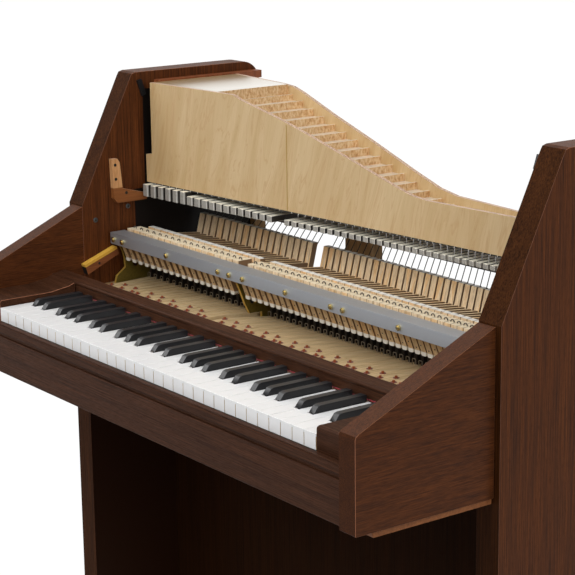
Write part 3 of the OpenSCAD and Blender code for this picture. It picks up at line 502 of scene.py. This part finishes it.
def bronze_paint():
    """Olive bronze paint, with a painted highlight where it turns to the front."""
    s = Shader("bronze_paint", Metallic=0.3, Roughness=0.42)
    fleck = s.noise((0.002, 0.002, 0.002), 3.0, 0.6)
    side = s.ramp(fleck, (0.3, srgb(98, 84, 30)), (0.7, srgb(124, 106, 44)))
    # painted highlight: front-facing areas brighter
    s.set(Base_Color=s.mix(s.forward(0.4), side, srgb(196, 158, 70)))
    s.bump(fleck, 0.15, 0.0003)
    return s.material


PANEL_VENEER = side_panel_veneer()
CHEEK_VENEER = cheek_veneer()
LONG_VENEER = veneer("walnut_long", 0, srgb(82, 51, 34), srgb(48, 28, 17), spec=0.05).material
KNEE_VENEER = veneer("walnut_shaded", 2, srgb(46, 24, 9), srgb(26, 13, 4), rough=0.6, spec=0.02).material
PLY = birch_ply("birch_ply")
LID_PLY = birch_ply("birch_ply_lids", lid=True)
FLANGE_WOOD = action_wood("flange_wood", srgb(248, 228, 196), srgb(224, 188, 142),
                          srgb(255, 238, 212), srgb(232, 216, 186))
LEVER_WOOD = action_wood("lever_wood", srgb(218, 192, 152), srgb(176, 144, 104),
                         srgb(255, 232, 200), srgb(214, 190, 152))
HAMMER_WOOD = action_wood("hammer_wood", srgb(252, 228, 190), srgb(230, 200, 160),
                          srgb(255, 232, 198), srgb(234, 230, 222))
DAMPER = damper_looks()
BEECH_X = bare_wood("beech_long", 0, srgb(190, 160, 118), srgb(150, 116, 78)).material
PINE_Z = bare_wood("pine_upright", 2, srgb(196, 158, 108), srgb(142, 106, 68), fine=0.002).material
STAINED = bare_wood("stained_ply", 0, srgb(168, 106, 62), srgb(112, 66, 36)).material
DARK_WOOD = bare_wood("dark_wood", 0, srgb(52, 40, 30), srgb(32, 25, 20)).material
BRACKET_WOOD = bracket_wood()
RED_BEECH = bare_wood("red_beech", 2, srgb(166, 96, 58), srgb(116, 60, 36), rough=0.4).material
ALUMINIUM = metal("rail_aluminium", srgb(186, 190, 196), 0.42, 0, metallic=0.75)
STEEL = metal("steel", srgb(196, 194, 192), 0.3)
BAR_STEEL = bar_steel()
BRASS = metal("brass", srgb(222, 204, 150), 0.22, streak=0.05)
COPPER = metal("pin_copper", srgb(168, 92, 58), 0.45, metallic=0.3)
DULL_WIRE = metal("dull_wire", srgb(150, 138, 118), 0.4, metallic=0.4)
SPRING = metal("spring_wire", srgb(92, 84, 74), 0.35, metallic=0.6)
BRONZE = bronze_paint()
BLACK_STEEL = metal("black_steel", srgb(32, 32, 34), 0.4, 2, metallic=0.3)
RED_FELT = felt("red_felt", srgb(186, 32, 48), srgb(140, 16, 30))
GREEN_FELT = felt("green_felt", srgb(58, 92, 70), srgb(36, 62, 48))
WHITE_FELT = felt("white_felt", srgb(236, 232, 222), srgb(206, 200, 186))
BLACK_FELT = felt("black_felt", srgb(40, 38, 38), srgb(20, 19, 19))
FELTED_BLOCK = felted_block()
# painted shade for holes and screw slots that are not cut
HOLE_SHADE = metal("painted_hole_shade", srgb(14, 13, 12), 0.6, metallic=0.0)
SCREW_GREY = metal("screw_grey", srgb(84, 88, 90), 0.35, metallic=0.6)
BUSHING = felt("bushing_cloth", srgb(140, 46, 24), srgb(98, 28, 14))
EDGE_GLUE = bare_wood("edge_glue", 2, srgb(190, 158, 84), srgb(170, 136, 66)).material
WHITE_KEY = white_keys()
BLACK_KEY = black_keys()

FINISH = {
    PANEL_VENEER: ["side_panel_left", "side_panel_right"],
    KNEE_VENEER: ["knee_panel"],
    CHEEK_VENEER: ["cheek_left", "cheek_right"],
    LONG_VENEER: ["front_board", "key_slip", "key_blocks", "cover_rail", "bottom_board"],
    STAINED: ["under_board", "key_bed"],
    DARK_WOOD: ["bar_rails"],
    PLY: ["resonator_front", "resonator_back"],
    LID_PLY: ["resonator_cells"],
    BEECH_X: ["key_frame", "flange_beams", "damper_rail", "pull_rail"],
    PINE_Z: ["back_frame"],
    FLANGE_WOOD: ["hammer_flanges"],
    LEVER_WOOD: ["levers", "middle_c_lever"],
    HAMMER_WOOD: ["hammers", "middle_c_hammer"],
    DAMPER: ["dampers", "middle_c_damper"],
    RED_BEECH: ["lid_ledges"],
    BRACKET_WOOD: ["corner_brackets"],
    ALUMINIUM: ["action_rail"],
    BRONZE: ["action_brackets"],
    STEEL: ["bar_pins", "pull_rod"],
    COPPER: ["balance_pins"],
    SPRING: ["flange_springs"],
    BAR_STEEL: ["tone_bars"],
    BRASS: ["rail_screws", "pedal"],
    BLACK_STEEL: ["catch_plates", "pedal_bracket"],
    RED_FELT: ["rail_felt"],
    GREEN_FELT: ["key_cloths"],
    FELTED_BLOCK: ["felt_block"],
    WHITE_KEY: [k for k in SINGLE_KEYS if "sharp" not in k] + ["bass_white_keys", "treble_white_keys"],
    BLACK_KEY: [k for k in SINGLE_KEYS if "sharp" in k] + ["bass_black_keys", "treble_black_keys"],
}
# Widths of rounded edges, in millimetres
ROUNDED = {"side_panel_left": 1.6, "side_panel_right": 1.6, "cheek_left": 1.4, "cheek_right": 1.4,
           "front_board": 1.2, "key_slip": 1.2, "cover_rail": 1.5, "key_blocks": 0.8,
           "tone_bars": 0.8, "action_rail": 0.6}
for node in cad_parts:
    if "key_" in node or node.endswith("_keys"):
        ROUNDED.setdefault(node, 0.5)


SHARP = math.radians(35)  # from this angle on, an edge is an edge


def round_edges(obj, width_mm):
    """Narrow rounded edges that catch the light."""
    weld = obj.modifiers.new("weld", "WELD")
    weld.merge_threshold = 2e-6
    bevel = obj.modifiers.new("edges", "BEVEL")
    bevel.width = width_mm * MM
    bevel.segments = 2
    bevel.limit_method = "ANGLE"
    bevel.angle_limit = SHARP
    bevel.use_clamp_overlap = True
    bevel.harden_normals = True


for material, nodes in FINISH.items():
    for node in nodes:
        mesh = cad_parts[node].data
        mesh.materials.clear()
        mesh.materials.append(material)
for node, width in ROUNDED.items():
    round_edges(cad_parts[node], width)

# ---------------------------------------------------------------- small pieces on the keys and the action


def round_points(centre, axis, radius, sides):
    """Points of a circle about an axis, and the axis as a unit vector."""
    axis = Vector(axis).normalized()
    side = axis.orthogonal().normalized()
    up = axis.cross(side)
    return [Vector(centre) + radius * (side * math.cos(t) + up * math.sin(t))
            for t in (2 * math.pi * j / sides for j in range(sides))], axis


class Piece:
    """A mesh put together from small solids, each in one of its materials, that rides on a body."""

    def __init__(self, name, body, slot, *materials):
        self.name, self.body, self.slot = name, body, slot
        self.bm = bmesh.new()
        self.materials = materials

    def loft(self, loops, mat=0, closed=False):
        """Joins loops of points into a skin; closed ends it in itself, otherwise its ends are capped."""
        rings = [[self.bm.verts.new(p) for p in loop] for loop in loops]
        n = len(rings[0])
        faces = []
        for a, b in zip(rings, rings[1:] + (rings[:1] if closed else [])):
            faces += [self.bm.faces.new((a[k], a[(k + 1) % n], b[(k + 1) % n], b[k])) for k in range(n)]
        if not closed:
            faces += [self.bm.faces.new(rings[0][::-1]), self.bm.faces.new(rings[-1])]
        for face in faces:
            face.material_index = mat

    def block(self, lo, hi, mat=0):
        """A box between two corners."""
        ring = [(lo[0], lo[1]), (hi[0], lo[1]), (hi[0], hi[1]), (lo[0], hi[1])]
        self.loft([[(x, y, z) for x, y in ring] for z in (lo[2], hi[2])], mat)

    def prism(self, outline, axis, start, end, mat=0):
        """An outline of the other two coordinates, pushed along an axis."""
        def lift(p, t):
            q = list(p)
            q.insert(axis, t)
            return tuple(q)
        self.loft([[lift(p, t) for p in outline] for t in (start, end)], mat)

    def wire(self, points, radius, mat=0, sides=8):
        """A round wire along points."""
        pts = [Vector(p) for p in points]
        loops = []
        for k, p in enumerate(pts):
            along = (pts[min(k + 1, len(pts) - 1)] - pts[max(k - 1, 0)]).normalized()
            side = along.orthogonal() if k == 0 else (side - along * side.dot(along))
            side.normalize()
            up = along.cross(side)
            loops.append([p + radius * (side * math.cos(t) + up * math.sin(t))
                          for t in (2 * math.pi * j / sides for j in range(sides))])
        self.loft(loops, mat)

    def disc(self, centre, axis, radius, height, mat=0, sides=20, dome=0.0):
        """A round head standing on centre, pushed along axis; dome rounds its top."""
        profile = [(1, 0), (1, height - dome)]
        if dome:
            profile += [(math.cos(t), height - dome + dome * math.sin(t))
                        for t in (math.radians(d) for d in (25, 50, 72))]
        loops = []
        for share, h in profile:
            circle, up = round_points(centre, axis, radius * share, sides)
            loops.append([p + up * h for p in circle])
        self.loft(loops, mat)

    def ring(self, centre, axis, inner, outer, height, mat=0, sides=16):
        """A flat ring standing on centre, height thick."""
        hole, up = round_points(centre, axis, inner, sides)
        rim = round_points(centre, axis, outer, sides)[0]
        self.loft([[a, b, b + up * height, a + up * height] for a, b in zip(hole, rim)], mat, closed=True)

    def done(self, round_mm=0.0):
        """Makes the object and sets it on its body."""
        bmesh.ops.recalc_face_normals(self.bm, faces=self.bm.faces)
        mesh = bpy.data.meshes.new(self.name)
        self.bm.to_mesh(mesh)
        for material in self.materials:
            mesh.materials.append(material)
        obj = bpy.data.objects.new(self.name, mesh)
        bpy.context.scene.collection.objects.link(obj)
        mesh.shade_smooth()
        mesh.set_sharp_from_angle(angle=SHARP)
        if round_mm:
            round_edges(obj, round_mm)
        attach(obj, self.body)
        return obj


def rounded(centre, radius, start, end, steps=6):
    """Points of an arc in a plane, in degrees."""
    return [(centre[0] + radius * math.cos(math.radians(start + (end - start) * k / steps)),
             centre[1] + radius * math.sin(math.radians(start + (end - start) * k / steps)))
            for k in range(steps + 1)]


# Bushing cloths round the balance pins, and wire staples on the keys' tails
BUSH_HOLE_R = 2.8 * MM  # room for the pin when its key rocks
BUSH_R = 4.4 * MM
BUSH_T = 0.6 * MM
BUSH_SUNK = 0.1 * MM
STAPLE_Y = at(0, 292, 0).y
STAPLE_TOP = TAIL_TOP_Z + 8.5 * MM
STAPLE_FOOT = TAIL_TOP_Z - 2 * MM
STAPLE_HALF = 3.4 * MM
STAPLE_BEND = 1.6 * MM
STAPLE_R = 0.5 * MM
STAPLE = ([(STAPLE_HALF, STAPLE_FOOT)]
          + rounded((STAPLE_HALF - STAPLE_BEND, STAPLE_TOP - STAPLE_BEND), STAPLE_BEND, 0, 90)
          + rounded((STAPLE_BEND - STAPLE_HALF, STAPLE_TOP - STAPLE_BEND), STAPLE_BEND, 90, 180)
          + [(-STAPLE_HALF, STAPLE_FOOT)])


def middle(box):
    """Centre of a box given by its corners."""
    return (box[0] + box[1]) / 2


pins = solids("balance_pins")
levers = sorted(solids("levers") + solids("middle_c_lever"), key=lambda b: middle(b).x)
fittings = {}
for i in range(KEY_COUNT):
    body = key_body(i)
    if body not in fittings:
        fittings[body] = Piece("key_fittings_" + body, body, "white_key", BUSHING, DULL_WIRE)
    pin = middle(pins[i])
    fittings[body].ring((pin.x, pin.y, TAIL_TOP_Z - BUSH_SUNK), (0, 0, 1), BUSH_HOLE_R, BUSH_R, BUSH_T, 0)
    x = middle(levers[i]).x
    fittings[body].wire([(x + side, STAPLE_Y, z) for side, z in STAPLE], STAPLE_R, 1)
for fitting in fittings.values():
    fitting.done()

# White felts under the front ends of the levers, and pin marks on their fronts
FELT_HALF = 5.2 * MM
FELT_ROUND = 3 * MM
FELT_LOW = 0.8 * MM
FELT_TOP = 4.6 * MM
FELT_DEPTH = 8.5 * MM
FELT_Y = at(0, 253.6, 0).y
MARK_Y = at(0, 255, 0).y
LEVER_LEAN = 14 / 36
for name in ("middle_c_lever", "levers"):
    felts = Piece(name + "_felts", name, None, WHITE_FELT, BLACK_FELT)
    for k, box in enumerate(solids(name)):
        x, foot = middle(box).x, box[0].z
        arc_z = foot - FELT_LOW + FELT_ROUND
        shape = (rounded((x - FELT_HALF + FELT_ROUND, arc_z), FELT_ROUND, 180, 270)
                 + rounded((x + FELT_HALF - FELT_ROUND, arc_z), FELT_ROUND, 270, 360)
                 + [(x + FELT_HALF, foot + FELT_TOP), (x - FELT_HALF, foot + FELT_TOP)])
        felts.prism(shape, 1, FELT_Y, FELT_Y + FELT_DEPTH, 0)
        high = (9 + 5 * (k % 2)) * MM
        felts.disc((x + (k % 3 - 1) * MM, MARK_Y - high * LEVER_LEAN, foot + high),
                   (0, -1, -LEVER_LEAN), 1.1 * MM, 0.3 * MM, 1, sides=12)
    felts.done(0.6)

# Holes of the corner brackets, screws in the side panels, and slots of the rail's screws; the holes and
# slots are black discs and bars of painted shade
BRACKET_HOLES = ((243.7, 178.5), (244.2, 156.0), (262.5, 132.6))
PANEL_SCREWS = ((269.9, 109.0), (209.9, 94.0))
HOLE_T = 0.25 * MM
marks = Piece("screws_and_holes", "case", None, HOLE_SHADE, SCREW_GREY)


def side_mark(inner, sign, out_mm, y, z, radius, height, mat=0, dome=0.0):
    """A round mark that stands out from a side panel's inner face."""
    spot = at(0, y, z)
    marks.disc((inner + sign * out_mm * MM, spot.y, spot.z), (sign, 0, 0), radius, height, mat, dome=dome)


for inner, sign in ((IN_L, 1), (IN_R, -1)):
    for y, z in BRACKET_HOLES:
        side_mark(inner, sign, 8.9, y, z, 2.5 * MM, HOLE_T)
    for y, z in PANEL_SCREWS:
        side_mark(inner, sign, 0, y, z, 4 * MM, 1.0 * MM, 1, 0.6 * MM)
        side_mark(inner, sign, 0.9, y, z, 1.4 * MM, HOLE_T)
side_mark(IN_L, 1, 11.9, 207, 27.5, 2 * MM, HOLE_T)  # in the felt-topped block

SLOT_HALF = 2.4 * MM
SLOT_HALF_W = 0.45 * MM
for k, box in enumerate(solids("rail_screws")):
    screw = middle(box)
    turn = math.radians(37 * k)
    c, d = math.cos(turn), math.sin(turn)
    slot = [(screw.x + u * c - v * d, screw.z + u * d + v * c)
            for u, v in ((-SLOT_HALF, -SLOT_HALF_W), (SLOT_HALF, -SLOT_HALF_W),
                         (SLOT_HALF, SLOT_HALF_W), (-SLOT_HALF, SLOT_HALF_W))]
    marks.prism(slot, 1, box[0].y - 0.05 * MM, box[0].y + 0.4 * MM, 0)
marks.done()

# Felt strip with guide pins between the bars' tops and the resonator
FRONT_SKEW = 0.0807
RESO_LO, RESO_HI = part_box("resonator_front")
PLY_T = 6 * MM
STRIP_T = 1.8 * MM


def front_wall_y(x):
    """Depth of the resonator's front face at x."""
    return RESO_LO.y + FRONT_SKEW * (x - RESO_LO.x)


bars = solids("tone_bars")
strip = Piece("bar_damp_strip", "case", None, BLACK_FELT, WHITE_FELT)
strip.loft([[(x, front_wall_y(x) + d, RESO_LO.z - h) for d, h in
             ((0.4 * MM, STRIP_T), (PLY_T, STRIP_T), (PLY_T, 0), (0.4 * MM, 0))]
            for x in (RESO_LO.x + 2 * MM, RESO_HI.x - 2 * MM)])
for a, b in zip(bars, bars[1:]):
    x = (a[1].x + b[0].x) / 2
    y = front_wall_y(x) - 0.2 * MM
    strip.wire([(x, y, RESO_LO.z - 2.4 * MM), (x, y, RESO_LO.z - 0.2 * MM)], 0.5 * MM, 1, 6)
strip.done()

# Glued seam between the two boards of the resonator's front
SEAM_X = at(276, 0, 0).x
SEAM_HALF = 0.8 * MM
seam_y = front_wall_y(SEAM_X)
seam = Piece("resonator_seam", "case", "birch_ply", EDGE_GLUE)
seam.block((SEAM_X - SEAM_HALF, seam_y - 0.25 * MM, RESO_LO.z + 0.5 * MM),
           (SEAM_X + SEAM_HALF, seam_y + 0.5 * MM, RESO_LO.z + 126 * MM))
seam.done()

# ---------------------------------------------------------------- stage, lamps and camera

FLOOR_HALF = 40.0
floor_mesh = bpy.data.meshes.new("floor")
floor_mesh.from_pydata([(-FLOOR_HALF, -FLOOR_HALF, 0), (FLOOR_HALF, -FLOOR_HALF, 0),
                        (FLOOR_HALF, FLOOR_HALF, 0), (-FLOOR_HALF, FLOOR_HALF, 0)], [], [(0, 1, 2, 3)])
floor = bpy.data.objects.new("floor", floor_mesh)
floor.location.z = cad_lo.z - 0.0005
bpy.context.scene.collection.objects.link(floor)


FLOOR_GLOW = 0.94
s = Shader("pale_floor", Roughness=0.9)
seen = s.math("MAXIMUM", s.seen_directly(), s.seen_in_gloss())
s.set(Base_Color=s.mix(seen, grey(0.22), grey(0.9)))
glow = s.put("ShaderNodeEmission", Color=grey(1.0), Strength=1.06)
blend = s.put("ShaderNodeMixShader", _0=s.times(seen, FLOOR_GLOW), _1=s.bsdf.outputs[0], _2=glow.outputs[0])
s.feed(s.out.inputs[0], blend.outputs[0])
floor_mesh.materials.append(s.material)

# The white backdrop stands behind and to the left; the rest of the room is dim in mirrors
WORLD_LIGHT = 0.3
ROOM_GLOSS = 0.12
BACKDROP_SIDE = (-0.6, 0.8, 0.0)
BACKDROP_GLOW = 1.05
world = bpy.data.worlds.new("studio")
bpy.context.scene.world = world
room = Nodes(world)
ray = room.put("ShaderNodeTexCoord").outputs["Generated"]
towards = room.put("ShaderNodeVectorMath", {"operation": "DOT_PRODUCT"}, _0=ray, _1=BACKDROP_SIDE)
mirrored = room.put("ShaderNodeMapRange", Value=towards.outputs["Value"], From_Min=0.1, From_Max=0.5,
                    To_Min=ROOM_GLOSS, To_Max=1.0).outputs[0]
lit = room.math("MULTIPLY_ADD", room.seen_in_gloss(), -WORLD_LIGHT, WORLD_LIGHT)
lit = room.math("ADD", lit, room.times(room.seen_in_gloss(), mirrored))
seen = room.times(room.seen_directly(), BACKDROP_GLOW)
sky = room.put("ShaderNodeBackground", Color=grey(1.0), Strength=room.math("MAXIMUM", lit, seen))
room.put("ShaderNodeOutputWorld", Surface=sky.outputs[0])

AIM = Vector((0.0, 0.0, 0.75))
LAMPS = [  # name, place, size, watts
    ("overhead", (0.0, -0.6, 3.2), 2.4, 24.0),
    ("left", (-2.6, -1.6, 2.4), 1.4, 32.0),
    ("front", (0.2, -2.8, 2.6), 1.6, 34.0),
    ("right", (3.0, -0.9, 2.2), 1.8, 34.0),
]
for name, place, size, watts in LAMPS:
    lamp = bpy.data.lights.new(name, "AREA")
    lamp.energy = watts
    lamp.size = size
    stand = bpy.data.objects.new(name, lamp)
    stand.location = place
    stand.rotation_euler = (AIM - Vector(place)).to_track_quat("-Z", "Y").to_euler()
    bpy.context.scene.collection.objects.link(stand)

CAMERA_TARGET = Vector((0.1005, -0.0813, 0.8204))
CAMERA_DISTANCE = 2.5
CAMERA_AZIMUTH = math.radians(53.88)
CAMERA_ELEVATION = math.radians(13.52)
CAMERA_ROLL = math.radians(-0.78)
CAMERA_LENS_MM = 118.48
CAMERA_SENSOR_MM = 36
back = Vector((math.cos(CAMERA_ELEVATION) * math.sin(CAMERA_AZIMUTH),
               -math.cos(CAMERA_ELEVATION) * math.cos(CAMERA_AZIMUTH), math.sin(CAMERA_ELEVATION)))
level = Vector((math.cos(CAMERA_AZIMUTH), math.sin(CAMERA_AZIMUTH), 0))
right = level * math.cos(CAMERA_ROLL) + back.cross(level) * math.sin(CAMERA_ROLL)
turn = Matrix((right, back.cross(right), back)).transposed().to_4x4()
camera_data = bpy.data.cameras.new("camera")
camera_data.lens = CAMERA_LENS_MM
camera_data.sensor_width = CAMERA_SENSOR_MM
camera = bpy.data.objects.new("camera", camera_data)
camera.matrix_world = Matrix.Translation(CAMERA_TARGET + back * CAMERA_DISTANCE) @ turn
bpy.context.scene.collection.objects.link(camera)
bpy.context.scene.camera = camera
bpy.context.scene.view_settings.view_transform = "Standard"
